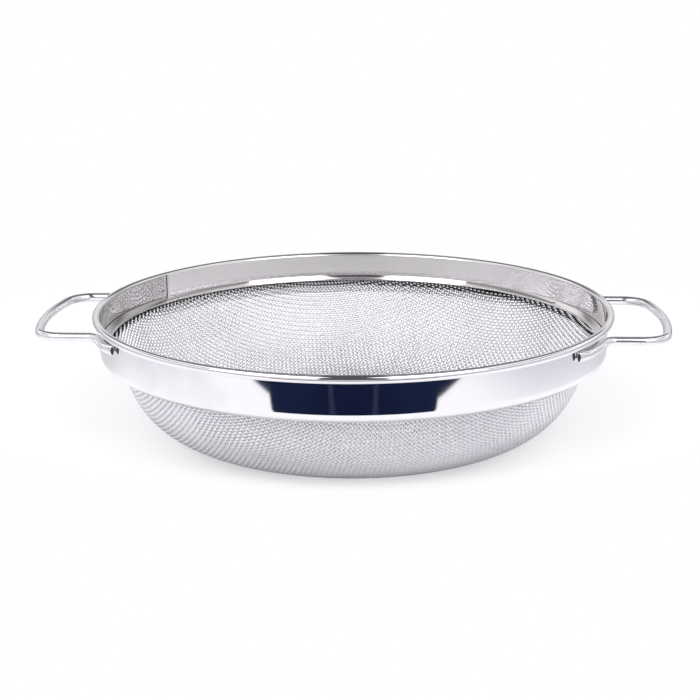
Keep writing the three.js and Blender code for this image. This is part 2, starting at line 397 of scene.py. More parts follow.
def polished_sheet(unbuffed_shade_from):
    """The metal of the hoop and the ring. Masks from 0 to 1 say where the seam, the weld, the inner
    wall with its painted shade, its darker stretch past the seam and its satin stretch, and the unbuffed
    edge, which is partly painted shade, lie. Each mask moves the colour or adds to the roughness."""
    finish = new_finish("polished_sheet")
    place = finish.place()
    lay = finish.place("UV")
    buffing = finish.noise(finish.stretched(lay, HAIR_LINE_SCALE), 1.0, 3.0)
    swell = finish.noise(place, SWELL_SCALE, 1.0)
    marks = finish.ease(finish.noise(place, MARK_SCALE, 4.0), *MARK_LIMITS)
    across = finish.dot(place, SEAM_ACROSS)
    towards = finish.dot(place, SEAM_TOWARDS)
    rightwards = finish.dot(place, RIGHTWARDS)
    backwards = finish.dot(place, BACKWARDS)
    height = finish.dot(place, UPWARDS)
    radius = finish.length(finish.stretched(place, (1.0, 1.0, 0.0)))
    seam = finish.ease(abs(across), *SEAM_FADE) * finish.ease(towards, *SEAM_RADIUS)
    weld = finish.ease(abs(across - WELD_ACROSS), *WELD_ACROSS_FADE) * finish.ease(towards, *WELD_SIDE)
    weld = weld * finish.ease(abs(height - WELD_HEIGHT), *WELD_HEIGHT_FADE)
    inside = finish.ease(radius, WALL_RADIUS + FACE_FADE, WALL_RADIUS - FACE_FADE)
    inside = inside * finish.ease(height, *INSIDE_FROM)
    past_seam = finish.ease(rightwards, SATIN_LEFT + SATIN_LEFT_FADE, SATIN_LEFT - SATIN_LEFT_FADE)
    past_seam = past_seam * finish.ease(backwards, *SHADE_PAST_SEAM_FROM)
    before_end = finish.ease(rightwards, SATIN_RIGHT + SATIN_RIGHT_FADE, SATIN_RIGHT - SATIN_RIGHT_FADE)
    above_ring = finish.ease(height, SATIN_FROM - SATIN_FROM_FADE, SATIN_FROM + SATIN_FROM_FADE)
    satin = inside * (1.0 - past_seam) * before_end * above_ring
    unbuffed_and_shaded = finish.ease(finish.dot(lay, BACKWARDS), unbuffed_shade_from, unbuffed_shade_from + UNBUFFED_FADE)
    # The inner wall's colours are painted shade: darker inside, and darker still past the seam.
    faces = finish.blend(inside, SHEET_BRIGHT, finish.blend(past_seam, SHEET_INSIDE_SHADE, SHEET_SHADE_PAST_SEAM))
    clean = finish.blend(marks * (1.0 - inside), faces, SHEET_MARKED)
    shown = SEAM_SHARE_OUTSIDE + (1 - SEAM_SHARE_OUTSIDE) * inside
    joined = finish.blend((seam + WELD_SHARE * weld) * shown, clean, SEAM_DARK)
    # The unbuffed edge's dark colour is partly unbuffed metal and partly painted shade for the recess
    # behind the mesh.
    colour = finish.blend(unbuffed_and_shaded, joined, SHEET_UNBUFFED_SHADE)
    roughness = BUFFED_ROUGHNESS + MARKED_ROUGHNESS * marks + HAIR_LINE_ROUGHNESS * buffing
    roughness = roughness + SATIN_ROUGHNESS * satin + SEAM_ROUGHNESS * seam + UNBUFFED_ROUGHNESS * unbuffed_and_shaded
    wavering = swell + HAIR_LINE_SHARE * buffing
    return finish.done(finish.metal(colour, roughness, wavering, SWELL_HEIGHT, 1.0 - SATIN_FILM * satin))


inner_hem_column = len(hoop_section) - EDGE_STEPS - len(lip_places) - len(turn_places)
sheet_finish = polished_sheet(lengths_along(hoop_section)[inner_hem_column])
print("finish:", sheet_finish.name, len(sheet_finish.node_tree.nodes), "nodes")

# %% [markdown]
# The hoop's seam is a shallow groove whose depth follows a bell curve of the distance from the seam.
# Rows one degree apart would step over it, so a few more rows are laid close to the seam.

# %% Hoop
SEAM_DEPTH = 0.15 * MM
SEAM_HALF_WIDTH = 0.28 * MM
SEAM_REACH = 1.2 * MM
SEAM_ROWS = 13
HOOP_ROWS = 360
seam_rows = SEAM_BEARING + np.linspace(-SEAM_REACH, SEAM_REACH, SEAM_ROWS) / WALL_RADIUS
even_rows = np.linspace(0, 2 * math.pi, HOOP_ROWS, endpoint=False)
hoop_turns = np.sort(np.concatenate([even_rows, seam_rows]))
from_seam = (hoop_turns - SEAM_BEARING) * WALL_RADIUS
groove = SEAM_DEPTH * np.exp(-((from_seam / SEAM_HALF_WIDTH) ** 2))
hoop_rows = hoop_section - groove[:, None, None] * hoop_normals
round_hoop = np.append(hoop_turns, hoop_turns[0] + 2 * math.pi) * WALL_RADIUS
hoop = lay_grid("hoop", turned(hoop_rows, hoop_turns), round_hoop, lengths_along(hoop_section))
hoop.data.materials.append(sheet_finish)
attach(hoop, "root")
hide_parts("rim_band")

# %% [markdown]
# ## The ring that holds the mesh
# A second strip with a rounded inner edge is sprung into the hoop and presses the edge of the mesh into
# the turned-in hem. It is one open ring: its two ends meet in a narrow butt joint, and it has one small
# nick. Its section is a polygon with rounded corners, which is quicker to change than a drawn curve.

# %% Ring section and ring
RING_CORNERS = np.array([
    [130.5, 51.6], [134.8, 53.0], [135.4, 53.3], [135.4, 54.4], [130.6, 53.1]]) * MM
RING_CORNER_RADII = np.array([0.7, 0.25, 0.2, 0.3, 0.65]) * MM
RING_RADIUS = 132 * MM
RING_JOINT = math.radians(145)
RING_JOINT_WIDTH = 0.4 * MM
RING_ROWS = 520
RING_NICK = math.radians(30)
NICK_DEPTH = 0.35 * MM
NICK_HALF_WIDTH = 1.1 * MM
NICK_DIRECTION = np.array([1.0, -0.3])
NICK_OUTSIDE = 133 * MM
NICK_RUN = 2.6 * MM


def rounded_section(corners, radii, steps=7):
    """A polygon with round corners. Each corner's arc touches both sides, radius / tan(half the angle)
    from the corner, about a centre radius / sin(half the angle) away along the line that halves the
    angle."""
    def unit(vectors):
        return vectors / np.linalg.norm(vectors, axis=1, keepdims=True)

    back = unit(np.roll(corners, 1, 0) - corners)
    ahead = unit(np.roll(corners, -1, 0) - corners)
    half = np.arccos(np.sum(back * ahead, 1)) / 2
    centres = corners + unit(back + ahead) * (radii / np.sin(half))[:, None]
    starts = corners + back * (radii / np.tan(half))[:, None] - centres
    ends = corners + ahead * (radii / np.tan(half))[:, None] - centres
    first = np.arctan2(starts[:, 1], starts[:, 0])
    sweep = np.arctan2(ends[:, 1], ends[:, 0]) - first
    sweep = (sweep + math.pi) % (2 * math.pi) - math.pi
    angle = first[:, None] + sweep[:, None] * np.linspace(0, 1, steps)
    arcs = centres[:, None] + radii[:, None, None] * np.stack([np.cos(angle), np.sin(angle)], -1)
    return arcs.reshape(-1, 2)


ring_section = rounded_section(RING_CORNERS, RING_CORNER_RADII)
half_joint = RING_JOINT_WIDTH / 2 / RING_RADIUS
ring_turns = np.linspace(RING_JOINT + half_joint, RING_JOINT + 2 * math.pi - half_joint, RING_ROWS)
from_nick = (ring_turns - 2 * math.pi - RING_NICK) * RING_RADIUS
nick = NICK_DEPTH * np.exp(-((from_nick / NICK_HALF_WIDTH) ** 2))
inner_share = np.clip((NICK_OUTSIDE - ring_section[:, 0]) / NICK_RUN, 0, 1)
ring_rows = ring_section + (nick[:, None] * inner_share)[..., None] * NICK_DIRECTION
ring_points = turned(ring_rows, ring_turns)
ring = lay_grid("mesh_ring", ring_points, ring_turns * RING_RADIUS, lengths_along(ring_section), ring=False)
ring.data.materials.append(sheet_finish)
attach(ring, "root")
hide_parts("mesh_retaining_ring")

# %% [markdown]
# ## Drawn wire for the mesh
# The mesh is woven from bright drawn wire. Drawing leaves it a little duller than the buffed sheet, and
# pressing and washing give each stretch its own shine. The wires are under a millimetre thick, so only
# a blur of the mirror image and a slow change of tint can be seen. The last millimetres under the ring
# are painted dark as shade, for the ring's shadow in that corner: near black on the wires of one
# direction, and only a little darker on those of the other, which catch the light there.

# %% Drawn wire
# Heights and colours of the painted shade under the ring: near black for one direction, faint for the
# other.
RING_SHADE_HEIGHT = (48.9 * MM, 50.2 * MM)
RING_SHADE_BLACK = (0.01, 0.01, 0.012, 1)
RING_SHADE_FAINT = (0.78, 0.78, 0.79, 1)
RING_SHADE_ROUGHNESS = 0.2
WIRE_GREY = (0.83, 0.82, 0.85, 1)
WIRE_PALE = (0.88, 0.87, 0.90, 1)
WIRE_ROUGHNESS = 0.07
BATCH_SCALE = 24.0
BATCH_LIMITS = (0.35, 0.65)
BATCH_ROUGHNESS = 0.03
DRAWING_SCALE = 1900.0
DRAWING_ROUGHNESS = 0.06
DRAWING_HEIGHT = 0.006 * MM


def drawn_wire(name, ring_shade):
    """The metal of the wires of one direction: two tints blended by slow blotches, going over into a
    painted shade colour between two heights, for the shadow the ring casts on the wires."""
    finish = new_finish(name)
    place = finish.place()
    under_ring = finish.ease(finish.dot(place, UPWARDS), *RING_SHADE_HEIGHT)
    batch = finish.noise(place, BATCH_SCALE, 2.0)
    drawing = finish.noise(place, DRAWING_SCALE, 1.0)
    clean = finish.blend(finish.ease(batch, *BATCH_LIMITS), WIRE_GREY, WIRE_PALE)
    colour = finish.blend(under_ring, clean, ring_shade)
    roughness = WIRE_ROUGHNESS + DRAWING_ROUGHNESS * drawing + BATCH_ROUGHNESS * batch
    roughness = roughness + RING_SHADE_ROUGHNESS * under_ring
    return finish.done(finish.metal(colour, roughness, drawing, DRAWING_HEIGHT))


# Direction a is painted near black as shade under the ring, direction b only a little darker.
wire_finishes = {
    "a": drawn_wire("ring_shaded_mesh_wire", RING_SHADE_BLACK),
    "b": drawn_wire("drawn_mesh_wire", RING_SHADE_FAINT)}
print("finishes:", [finish.name for finish in wire_finishes.values()])

# %% [markdown]
# ## The woven bowl
# The bowl starts as a flat square weave and is pressed over a form. A picture of a weave on a smooth
# bowl looks wrong as soon as light falls through the holes, so every wire is real. A point of the flat
# cloth keeps its distance from the middle when the cloth is pressed, so that distance, measured along
# the bowl, gives its place. The bowl's section is written as a slope for each length along it, and
# summing the slope gives radius and height.

# %% Section of the bowl
WIRE = 0.92 * MM
FLOOR_RADIUS = 79 * MM
CORNER_RADIUS = 44.8 * MM
WALL_SLOPE = math.radians(67)
FLARE_SLOPE = math.radians(17)
WALL_RUN = 23.6 * MM
FLARE_BEND = 1.2 * MM
FLARE_RUN = 3.3 * MM
BOWL_SAMPLES = 3200

slope_marks = np.cumsum([0, FLOOR_RADIUS, CORNER_RADIUS * WALL_SLOPE, WALL_RUN, FLARE_BEND, FLARE_RUN])
slope_values = [0, 0, WALL_SLOPE, WALL_SLOPE, FLARE_SLOPE, FLARE_SLOPE]
CLOTH_REACH = slope_marks[-1]
bowl_run = np.linspace(0, CLOTH_REACH, BOWL_SAMPLES)
bowl_slope = np.interp(bowl_run, slope_marks, slope_values)
bowl_step = np.diff(bowl_run, prepend=0)
bowl_radius = np.cumsum(np.cos(bowl_slope) * bowl_step)
bowl_height = WIRE + np.cumsum(np.sin(bowl_slope) * bowl_step)
print("cloth reaches", round(CLOTH_REACH / MM, 1), "mm from its middle, to a radius of",
      round(bowl_radius[-1] / MM, 2), "and a height of", round(bowl_height[-1] / MM, 2), "mm")


def pressed(across, along):
    """Points of the flat cloth on the bowl, with the normal that points away from the food: the
    distance from the middle gives radius, height and slope, and the direction from the middle is
    kept."""
    reach = np.hypot(across, along)
    bearing = np.arctan2(along, across)
    radius = np.interp(reach, bowl_run, bowl_radius)
    height = np.interp(reach, bowl_run, bowl_height)
    slope = np.interp(reach, bowl_run, bowl_slope)
    away = np.stack([np.cos(bearing), np.sin(bearing), np.zeros_like(bearing)], -1)
    down = np.array([0.0, 0.0, -1.0])
    places = away * radius[..., None] - down * height[..., None]
    return places, away * np.sin(slope)[..., None] + down * np.cos(slope)[..., None]

# %% [markdown]
# In plain weave each wire passes over one crossing wire and under the next, so its height over the
# cloth is a cosine with one half wave for each crossing, and neighbours are half a wave apart. Each
# wire is a thin tube of six sides. All tubes of one direction are worked out as one array, and the
# parts past the cloth's edge are masked out. Pressing has pulled the cloth a little out of square, so
# the two directions aren't quite at right angles. The wires of each direction are split between four
# pieces, to keep every piece to a moderate size.

# %% Woven wires
CROSSING = 1.86 * MM
WIRE_BEARINGS = np.radians([57.7, -37.1])
STEPS_PER_CROSSING = 2
WIRE_SIDES = 6
PIECES_PER_DIRECTION = 4
WIRE_DRIFT = 0.05 * MM
RUN_PAST_EDGE = 1.1


def tubes(centres, outward, radius, kept):
    """Points, quads and end caps of many tubes: rings of points round each centre, in the plane across
    the run. Only kept centres get a ring, and a tube is capped at its first and last kept centre."""
    ahead = np.gradient(centres, axis=1)
    ahead /= np.linalg.norm(ahead, axis=-1, keepdims=True)
    sideways = np.cross(outward, ahead)
    sideways /= np.linalg.norm(sideways, axis=-1, keepdims=True)
    upright = np.cross(ahead, sideways)
    angle = np.linspace(0, 2 * math.pi, WIRE_SIDES, endpoint=False)[:, None]
    rings = centres[:, :, None] + radius * (
        np.cos(angle) * upright[:, :, None] + np.sin(angle) * sideways[:, :, None])
    ring_number = np.cumsum(kept.ravel()).reshape(kept.shape) - 1
    joined = kept[:, :-1] & kept[:, 1:]
    here, there = ring_number[:, :-1][joined], ring_number[:, 1:][joined]
    side = np.arange(WIRE_SIDES)
    beside = (side + 1) % WIRE_SIDES
    quads = np.stack([
        here[:, None] * WIRE_SIDES + side, here[:, None] * WIRE_SIDES + beside,
        there[:, None] * WIRE_SIDES + beside, there[:, None] * WIRE_SIDES + side], -1).reshape(-1, 4)
    wire = np.arange(len(kept))
    first = ring_number[wire, kept.argmax(1)]
    last = ring_number[wire, kept.shape[1] - 1 - kept[:, ::-1].argmax(1)]
    caps = np.concatenate([first[:, None] * WIRE_SIDES + side[::-1], last[:, None] * WIRE_SIDES + side])
    return rings[kept].reshape(-1, 3), quads, caps


def woven(own, other, first_over, seed):
    """Places on the flat cloth and crimp of all wires of one direction. Own and other are the bearings
    of these wires and of those they cross. Each wire is sampled a few times in each crossing and
    shifted a little, as in real cloth, and it is raised and lowered by half a wire as it crosses."""
    count = int(CLOTH_REACH / CROSSING) - 1
    number = np.arange(-count, count + 1)[:, None]
    steps = int(RUN_PAST_EDGE * CLOTH_REACH / CROSSING) * STEPS_PER_CROSSING
    run = np.arange(-steps, steps + 1)[None, :] / STEPS_PER_CROSSING
    drift = np.random.default_rng(seed).normal(0, WIRE_DRIFT, number.shape)
    ahead = run * CROSSING
    aside = number * CROSSING + drift
    across = ahead * math.cos(own) + aside * math.cos(other)
    along = ahead * math.sin(own) + aside * math.sin(other)
    return across, along, first_over * np.cos(math.pi * (run + number)) * WIRE / 2


for letter, own, other, first_over, seed in (
        ("a", WIRE_BEARINGS[0], WIRE_BEARINGS[1], 1, 3),
        ("b", WIRE_BEARINGS[1], WIRE_BEARINGS[0], -1, 4)):
    across, along, crimp = woven(own, other, first_over, seed)
    places, outward = pressed(across, along)
    centres = places + crimp[..., None] * outward
    kept = np.hypot(across, along) < CLOTH_REACH
    for number, share in enumerate(np.array_split(np.arange(len(kept)), PIECES_PER_DIRECTION)):
        points, quads, caps = tubes(centres[share], outward[share], WIRE / 2, kept[share])
        wires = lay_mesh(f"mesh_wires_{letter}{number + 1}", points, quads, caps)
        wires.data.materials.append(wire_finishes[letter])
        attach(wires, "root")
        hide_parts("mesh_bowl")

# %% [markdown]
# The cloth ends in a crushed hem between the hoop and the ring, seen only through the gap under the
# ring. It is a leaning bar with rounded corners, and shallow waves at the pitch of the wires stand for
# the crushed ends. Its nearly black colour is painted shade, for the shadow in that gap, with paler
# blotches.

# %% Crushed hem
# The hem's two colours are painted shade for the gap under the ring.
EDGE_SHADE_DARK = (0.02, 0.02, 0.022, 1)
EDGE_SHADE_PALE = (0.10, 0.10, 0.105, 1)
EDGE_ROUGHNESS = 0.45
DIRT_SCALE = 420.0
DIRT_ROUGHNESS = 0.2
DIRT_HEIGHT = 0.1 * MM
HEM_BAR_CENTRE = np.array([133.5, 49.3]) * MM
HEM_BAR_HALF = np.array([0.9, 1.4]) * MM
HEM_BAR_CORNERS = np.full(4, 0.5 * MM)
HEM_BAR_CORNER_STEPS = 4
HEM_BAR_ROWS = 1320
CRUSH_WAVES = 330
CRUSH_SHARE = 0.08


def crushed_edge():
    """The metal of the hem: painted nearly black as shade, with paler blotches that are also rougher."""
    finish = new_finish("crushed_mesh_edge")
    dirt = finish.noise(finish.place(), DIRT_SCALE, 3.0)
    colour = finish.blend(dirt, EDGE_SHADE_DARK, EDGE_SHADE_PALE)
    return finish.done(finish.metal(colour, EDGE_ROUGHNESS + DIRT_ROUGHNESS * dirt, dirt, DIRT_HEIGHT))


lean = np.array([
    [math.cos(FLARE_SLOPE), -math.sin(FLARE_SLOPE)],
    [math.sin(FLARE_SLOPE), math.cos(FLARE_SLOPE)]])
bar_corners = (np.array([[-1, -1], [1, -1], [1, 1], [-1, 1]]) * HEM_BAR_HALF) @ lean.T + HEM_BAR_CENTRE
bar_section = rounded_section(bar_corners, HEM_BAR_CORNERS, HEM_BAR_CORNER_STEPS)
bar_turns = np.linspace(0, 2 * math.pi, HEM_BAR_ROWS, endpoint=False)
crush = 1 - CRUSH_SHARE + CRUSH_SHARE * np.cos(CRUSH_WAVES * bar_turns)
bar_rows = HEM_BAR_CENTRE + crush[:, None, None] * (bar_section - HEM_BAR_CENTRE)
round_bar = np.append(bar_turns, 2 * math.pi) * HEM_BAR_CENTRE[0]
hem = lay_grid("mesh_hem", turned(bar_rows, bar_turns), round_bar, lengths_along(bar_section))
hem.data.materials.append(crushed_edge())
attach(hem, "root")
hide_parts("mesh_bowl")

# %% [markdown]
# ## Handles
# Each handle is one length of wire, bent in a jig and buffed. Both feet lie along the hoop under its
# roll, where they are welded. The wire is polished lengthwise, so its hair lines run along it. Its cut
# ends are torn and rough, and their near-black colour is painted shade at the wire's ends.

# %% Polished wire
HANDLE_BRIGHT = (0.88, 0.88, 0.90, 1)
HANDLE_DULLED = (0.81, 0.81, 0.83, 1)
HANDLE_ROUGHNESS = 0.11
DULLED_SCALE = 85.0
DULLED_LIMITS = (0.5, 0.75)
DULLED_ROUGHNESS = 0.06
LINE_SCALE = (30.0, 2400.0, 1.0)
LINE_ROUGHNESS = 0.04
LINE_HEIGHT = 0.0012 * MM
# The cut ends' near-black colours are painted shade.
SHEARED_SHADE_DARK = (0.03, 0.03, 0.035, 1)
SHEARED_SHADE_PALE = (0.16, 0.16, 0.17, 1)
SHEARED_ROUGHNESS = 0.35
TEAR_SCALE = (900.0, 900.0, 3200.0)
TEAR_ROUGHNESS = 0.25
TEAR_HEIGHT = 0.15 * MM


def polished_wire():
    """The metal of the handles: lines along the wire, and blotches that are darker and rougher."""
    finish = new_finish("polished_handle_wire")
    place = finish.place()
    lines = finish.noise(finish.stretched(finish.place("UV"), LINE_SCALE), 1.0, 3.0)
    dulled = finish.ease(finish.noise(place, DULLED_SCALE, 3.0), *DULLED_LIMITS)
    colour = finish.blend(dulled, HANDLE_BRIGHT, HANDLE_DULLED)
    roughness = HANDLE_ROUGHNESS + DULLED_ROUGHNESS * dulled + LINE_ROUGHNESS * lines
    return finish.done(finish.metal(colour, roughness, lines, LINE_HEIGHT))


def sheared_end():
    """The metal of a cut end, painted near black as shade, with tears that run across it."""
    finish = new_finish("sheared_wire_end")
    tears = finish.noise(finish.stretched(finish.place(), TEAR_SCALE), 1.0, 3.0)
    colour = finish.blend(tears, SHEARED_SHADE_DARK, SHEARED_SHADE_PALE)
    return finish.done(finish.metal(colour, SHEARED_ROUGHNESS + TEAR_ROUGHNESS * tears, tears, TEAR_HEIGHT))


handle_finish = polished_wire()
end_finish = sheared_end()
print("finishes:", handle_finish.name, "and", end_finish.name)

# %% [markdown]
# Seen from above, half a handle is a bow, a corner, a leg, a bend and a foot, each tangent to the next.
# Where two arcs meet, their centres and the meeting point lie on one line, which gives the angles.

# %% Handles
HANDLE_RADIUS = 2.4 * MM
HANDLE_HEIGHT = 60.7 * MM
HALF_SPAN = 44.8 * MM
REACH = 167.5 * MM
BOW_RADIUS = 160 * MM
CORNER = 14 * MM
FOOT_BEND = 7 * MM
FOOT_RADIUS = 138.95 * MM
FOOT_ENDS = {"right_handle": math.radians(33.9), "left_handle": math.radians(31.2)}
FOOT_FLAT = 1.35 * MM
FOOT_TALL = 2.6 * MM
FLAT_LENGTH = 9 * MM
END_ROUNDING = 0.5 * MM
HANDLE_SIDES = 24
HANDLE_STATIONS = 260
BOW_STEPS = 40
CORNER_STEPS = 30
LEG_STEPS = 12
BEND_STEPS = 20
FOOT_STEPS = 40
ROUNDING_STEPS = 6

bend_y = HALF_SPAN + FOOT_BEND
bend_x = math.sqrt((FOOT_RADIUS + FOOT_BEND) ** 2 - bend_y ** 2)
bend_angle = math.atan2(bend_y, bend_x)
bow_centre = np.array([REACH - BOW_RADIUS, 0.0])
corner_y = HALF_SPAN - CORNER
corner_x = bow_centre[0] + math.sqrt((BOW_RADIUS - CORNER) ** 2 - corner_y ** 2)
corner_angle = math.atan2(corner_y, corner_x - bow_centre[0])


def handle_plan(foot_end):
    """The wire's path seen from above, from one cut end to the other: half of it runs from the middle
    of the bow round the corner, in along the leg, round the bend and along the hoop, and the other half
    is its mirror."""
    corner = np.array([corner_x, corner_y])
    bend = np.array([bend_x, bend_y])
    leg_start = np.array([corner_x, HALF_SPAN])
    leg_end = np.array([bend_x, HALF_SPAN])
    half = np.concatenate([
        arc_line(bow_centre, BOW_RADIUS, 0, corner_angle, BOW_STEPS)[0],
        arc_line(corner, CORNER, corner_angle, math.pi / 2, CORNER_STEPS)[0][1:],
        straight_line(leg_start, leg_end, LEG_STEPS)[0][1:],
        arc_line(bend, FOOT_BEND, -math.pi / 2, bend_angle - math.pi, BEND_STEPS)[0][1:],
        arc_line(np.zeros(2), FOOT_RADIUS, bend_angle, foot_end, FOOT_STEPS)[0][1:]])
    return np.concatenate([half[:0:-1] * [1, -1], half])


def handle_rings(plan, side):
    """Rings of points along a handle: the path at each station, widened sideways and up and down by the
    wire's radius. Near both ends the wire is pressed flat against the hoop, so its half width falls,
    its half height grows, and its middle moves in to keep the inner side in place. The cut edges are
    rounded along a quarter circle. A side of -1 turns the handle half round the bowl's axis."""
    lengths = lengths_along(plan)[:-1]
    whole = lengths[-1]
    near_end = END_ROUNDING * (1 - np.cos(np.linspace(0, math.pi / 2, ROUNDING_STEPS)))
    between = np.linspace(END_ROUNDING, whole - END_ROUNDING, HANDLE_STATIONS)[1:-1]
    station = np.concatenate([near_end, between, (whole - near_end)[::-1]])
    middle = np.stack([np.interp(station, lengths, plan[:, axis]) for axis in (0, 1)], 1)
    ahead = np.gradient(middle, station, axis=0)
    ahead /= np.linalg.norm(ahead, axis=1, keepdims=True)
    outwards = ahead[:, ::-1] * [1, -1]
    from_end = np.minimum(station, whole - station)
    pressed_flat = np.clip(1 - from_end / FLAT_LENGTH, 0, 1)
    pressed_flat = pressed_flat ** 2 * (3 - 2 * pressed_flat)
    short = np.clip(END_ROUNDING - from_end, 0, None)
    rounding = END_ROUNDING - np.sqrt(END_ROUNDING ** 2 - short ** 2)
    half_width = HANDLE_RADIUS + (FOOT_FLAT - HANDLE_RADIUS) * pressed_flat
    half_height = HANDLE_RADIUS + (FOOT_TALL - HANDLE_RADIUS) * pressed_flat
    middle = middle - (HANDLE_RADIUS - half_width)[:, None] * outwards
    angle = np.linspace(0, 2 * math.pi, HANDLE_SIDES, endpoint=False)
    reach = (half_width - rounding)[:, None] * np.cos(angle)
    flat = middle[:, None] + reach[..., None] * outwards[:, None]
    height = HANDLE_HEIGHT + (half_height - rounding)[:, None] * np.sin(angle)
    around = np.append(angle, 2 * math.pi) * HANDLE_RADIUS
    return np.concatenate([side * flat, height[..., None]], -1), station, around


for name, side in (("right_handle", 1), ("left_handle", -1)):
    rings, station, around = handle_rings(handle_plan(FOOT_ENDS[name]), side)
    handle = lay_grid(name + "_wire", rings, station, around, ring=False)
    handle.data.materials.append(handle_finish)
    handle.data.materials.append(end_finish)
    faces = len(handle.data.polygons)
    end_faces = np.arange(faces) >= faces - 2
    handle.data.polygons.foreach_set("material_index", end_faces.astype(np.int32))
    print("handle wire:", round(station[-1] / MM, 1), "mm long")
    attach(handle, "root")
    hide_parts(name)

# %% [markdown]
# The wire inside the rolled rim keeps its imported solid, because the roll hides all but a glimpse of it.
# It only needs the finish of the handles.

# %% Wire inside the roll
core = frame["nodes"]["rim_wire"]
core.data.materials.clear()
core.data.materials.append(handle_finish)
print("core wire keeps its solid:", core.name)

# %% [markdown]
# ## A white studio
# The colander stands on white paper between two soft boxes, and mirrors whatever surrounds it. Metal in
# an evenly white room has no edges, so a studio keeps dark areas as well. Here a gap is left between
# the soft boxes, where the camera stands. The room behind is dim, the ceiling is grey, and a grey flag
# stands on either side. Each area is a mask over the direction of a ray, and only mirrored rays see it.
# The camera sees white all round.

# %% World
BEARING = math.radians(2.55)
TO_CAMERA = (math.sin(BEARING), -math.cos(BEARING), 0.0)
TO_RIGHT = (math.cos(BEARING), math.sin(BEARING), 0.0)
WHITE = (1.0, 1.0, 1.0, 1)
SOFT_BOX_WHITE = (1.15, 1.135, 1.15, 1)
PAPER_WHITE = (1.1, 1.08, 1.12, 1)
FILL_GREY = (0.45, 0.45, 0.46, 1)
TABLE_WHITE = (0.8, 0.795, 0.81, 1)
BACK_GREY = (0.72, 0.71, 0.73, 1)
LOW_GREY = (0.66, 0.65, 0.68, 1)
GAP_GREY = (0.10, 0.095, 0.105, 1)
DIM_GREY = (0.18, 0.175, 0.18, 1)
FLANK_GREY = (0.34, 0.335, 0.345, 1)
CEILING_GREY = (0.35, 0.345, 0.355, 1)
SIDE_LAVENDER = (0.70, 0.67, 0.76, 1)
NAVY = (0.008, 0.011, 0.038, 1)
TEAL = (0.009, 0.016, 0.048, 1)
STREAK = (0.030, 0.032, 0.075, 1)
GAP_LEAN = 0.125
GAP_SIDES = (0.14, 0.11)
BEHIND_FROM = (-0.15, -0.3)
BEHIND_RISE = (0.25, 0.4)
BEHIND_SIDES = (0.62, 0.45)
FLANK_SIDES = (0.64, 0.72)
FLANK_BOTTOM = (0.47, 0.53)
FLANK_TOP = (0.68, 0.62)
LOW_RISE = (0.45, 0.1)
CEILING_RISE = (0.80, 0.90)


def studio_world():
    """The room, as colours laid over one another by masks. A mask is a product of smooth steps along
    the directions to the camera, sideways and up."""
    finish = Finish(bpy.data.worlds.new("studio"))
    direction = finish.place("Generated")
    to_camera = finish.dot(direction, TO_CAMERA)
    sideways = abs(finish.dot(direction, TO_RIGHT))
    rise = finish.dot(direction, UPWARDS)
    gap = finish.ease(sideways - GAP_LEAN * to_camera, *GAP_SIDES)
    behind = finish.ease(to_camera, *BEHIND_FROM) * finish.ease(rise, *BEHIND_RISE)
    behind = behind * finish.ease(sideways, *BEHIND_SIDES)
    flank = finish.ease(rise, *FLANK_BOTTOM) * finish.ease(rise, *FLANK_TOP)
    flank = flank * finish.ease(sideways, *FLANK_SIDES)
    room = finish.blend(finish.ease(rise, *LOW_RISE), SOFT_BOX_WHITE, LOW_GREY)
    room = finish.blend(behind, room, DIM_GREY)
    room = finish.blend(flank, room, FLANK_GREY)
    room = finish.blend(finish.ease(rise, *CEILING_RISE), room, CEILING_GREY)
    room = finish.blend(gap, room, GAP_GREY)
    lighting = finish.blend(finish.ray("Glossy"), FILL_GREY, room)
    colour = finish.blend(finish.ray("Camera"), lighting, WHITE)
    return finish.done(finish.node("ShaderNodeBackground", None, {"Color": colour, "Strength": 1.0}))


bpy.context.scene.world = studio_world()
print("world:", bpy.context.scene.world.name)

# %% [markdown]
# The table is white paper and takes the real shadow. A little light of its own, for camera rays only,
# keeps it bright, and farther out it goes over into plain white. Mirrored rays see more of the studio:
# the paper ends in front of the bowl, with a dark blue floor and two streaks beyond, its sides are
# tinted and its back is grey.

# %% Table
TABLE_HALF = 3.0
TABLE_DROP = 0.05 * MM
HOOP_FRONT = 0.137
LIFT_GREY = (0.45, 0.45, 0.45, 1)
BLACK = (0.0, 0.0, 0.0, 1)
PAPER_EDGE = 0.279
PAPER_EDGE_FADE = 0.003
PAPER_EDGE_LEAN = 0.02
NOTCH_LEAN = 0.9
NOTCH_LEFT = (-0.150, -0.144)
NOTCH_RIGHT = (0.153, 0.147)
NOTCH_FROM = (0.235, 0.245)
FLOOR_END = (0.44, 0.38)
FLOOR_TEAL_FROM = (0.04, 0.12)
STREAK_LEAN = 0.225
STREAK_FADE = (0.007, 0.002)
BACK_FROM = (0.02, -0.12)
DIM_FROM = (-0.42, -0.5)
RIGHT_FROM = (0.17, 0.36)
LEFT_FROM = (-0.22, -0.36)
LEFT_SHARE = 0.6
MIRRORED_FROM = (0.115, 0.155)
WHITE_FROM = (0.28, 0.42)
WHITE_BACK_LEAN = 1.2
WHITE_BACK_FROM = (0.18, 0.25)


